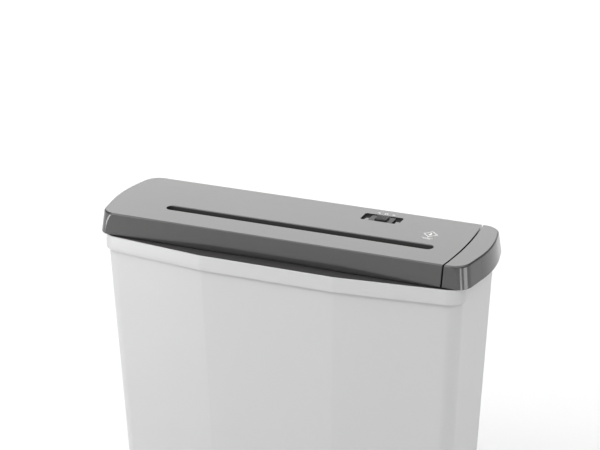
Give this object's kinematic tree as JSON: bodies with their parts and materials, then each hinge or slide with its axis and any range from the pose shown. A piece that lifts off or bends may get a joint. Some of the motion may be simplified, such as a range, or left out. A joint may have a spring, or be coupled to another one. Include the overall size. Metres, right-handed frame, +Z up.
{
  "type": "paper shredder",
  "caption": "Strip-cut paper shredder: a motorised cutting head with a full-width feed slot that lifts off a tapered, facet-fronted waste bin.",
  "frame": {"origin": "on the ground under the middle of the object's box", "axes": "+X along the head towards the end with the separate cap, -Y out of the faceted front, +Z up"},
  "size_m": [0.3178, 0.11, 0.2912],
  "materials": {
    "bin_plastic": "light grey satin moulding",
    "head_plastic": "dark warm-grey satin moulding",
    "housing_plastic": "black fine-grained moulding",
    "switch_plastic": "black ribbed knob",
    "steel": "zinc-plated sheet and fasteners",
    "cutter_steel": "hardened, oiled cutter steel",
    "bronze": "sintered bronze",
    "nylon": "natural nylon",
    "circuit_board": "green lacquered board",
    "component_black": "black component case",
    "component_blue": "blue capacitor case",
    "rubber": "black grommet"
  },
  "bodies": {
    "bin": {"waste_bin": "bin_plastic"},
    "head": {"lower_housing": "housing_plastic", "top_cover": "head_plastic", "right_end_cap": "head_plastic", "housing_screw_1": "steel", "housing_screw_2": "steel", "housing_screw_3": "steel", "housing_screw_4": "steel", "housing_screw_5": "steel", "cap_screw_1": "steel", "cap_screw_2": "steel", "left_side_plate": "steel", "right_side_plate": "steel", "tie_bolt_1": "steel", "tie_bolt_2": "steel", "tie_bolt_3": "steel", "tie_bolt_4": "steel", "tie_nut_1": "steel", "tie_nut_2": "steel", "tie_nut_3": "steel", "tie_nut_4": "steel", "bush_front_left": "bronze", "bush_rear_left": "bronze", "bush_front_right": "bronze", "bush_rear_right": "bronze", "front_stripper_comb": "housing_plastic", "rear_stripper_comb": "housing_plastic", "first_gear_axle": "steel", "second_gear_axle": "steel", "motor_housing": "steel", "motor_screw_low": "steel", "motor_screw_high": "steel", "control_board": "circuit_board", "power_relay": "component_black", "filter_capacitor": "component_blue", "terminal_block": "nylon", "slide_switch": "component_black", "start_switch": "component_black", "start_lever_pin": "steel", "cable_gland": "rubber"},
    "rear_cutter": {"rear_cutter": "cutter_steel", "rear_sync_gear": "steel", "rear_drive_gear": "steel"},
    "front_cutter": {"front_cutter": "cutter_steel", "front_sync_gear": "steel"},
    "second_gear": {"second_compound_gear": "nylon"},
    "first_gear": {"first_compound_gear": "nylon"},
    "motor_rotor": {"motor_shaft": "steel", "motor_pinion": "bronze", "motor_fan": "nylon"},
    "switch_slider": {"switch_slider": "switch_plastic"},
    "start_lever": {"start_lever": "nylon"}
  },
  "joints": [
    {"name": "head_lift", "type": "slide", "parent": "bin", "child": "head", "axis": [0, 0, 1], "range_m": [0, 0.08]},
    {"name": "rear_cutter_spin", "type": "hinge", "parent": "head", "child": "rear_cutter", "pos_m": [0, -0.0015, 0.24], "axis": [1, 0, 0], "continuous": true},
    {"name": "front_cutter_spin", "type": "hinge", "parent": "head", "child": "front_cutter", "pos_m": [0, -0.0225, 0.24], "axis": [1, 0, 0], "continuous": true},
    {"name": "second_gear_spin", "type": "hinge", "parent": "head", "child": "second_gear", "pos_m": [0, 0.00287, 0.26054], "axis": [1, 0, 0], "continuous": true},
    {"name": "first_gear_spin", "type": "hinge", "parent": "head", "child": "first_gear", "pos_m": [0, 0.02325, 0.26124], "axis": [1, 0, 0], "continuous": true},
    {"name": "motor_spin", "type": "hinge", "parent": "head", "child": "motor_rotor", "pos_m": [0, 0.029, 0.24], "axis": [1, 0, 0], "continuous": true},
    {"name": "switch_slide", "type": "slide", "parent": "head", "child": "switch_slider", "axis": [1, 0, 0], "range_m": [-0.005, 0.005]},
    {"name": "start_lever_pivot", "type": "hinge", "parent": "head", "child": "start_lever", "pos_m": [0.005, -0.001, 0.27], "axis": [1, 0, 0], "range_deg": [0, 25], "stiffness_Nm_per_rad": 0.002, "springref_deg": -20.05}
  ],
  "couplings": [
    {"joint": "front_cutter_spin", "follows": "rear_cutter_spin", "ratio": -1},
    {"joint": "second_gear_spin", "follows": "rear_cutter_spin", "ratio": -2},
    {"joint": "first_gear_spin", "follows": "rear_cutter_spin", "ratio": 4.8},
    {"joint": "motor_spin", "follows": "rear_cutter_spin", "ratio": -14.4}
  ]
}
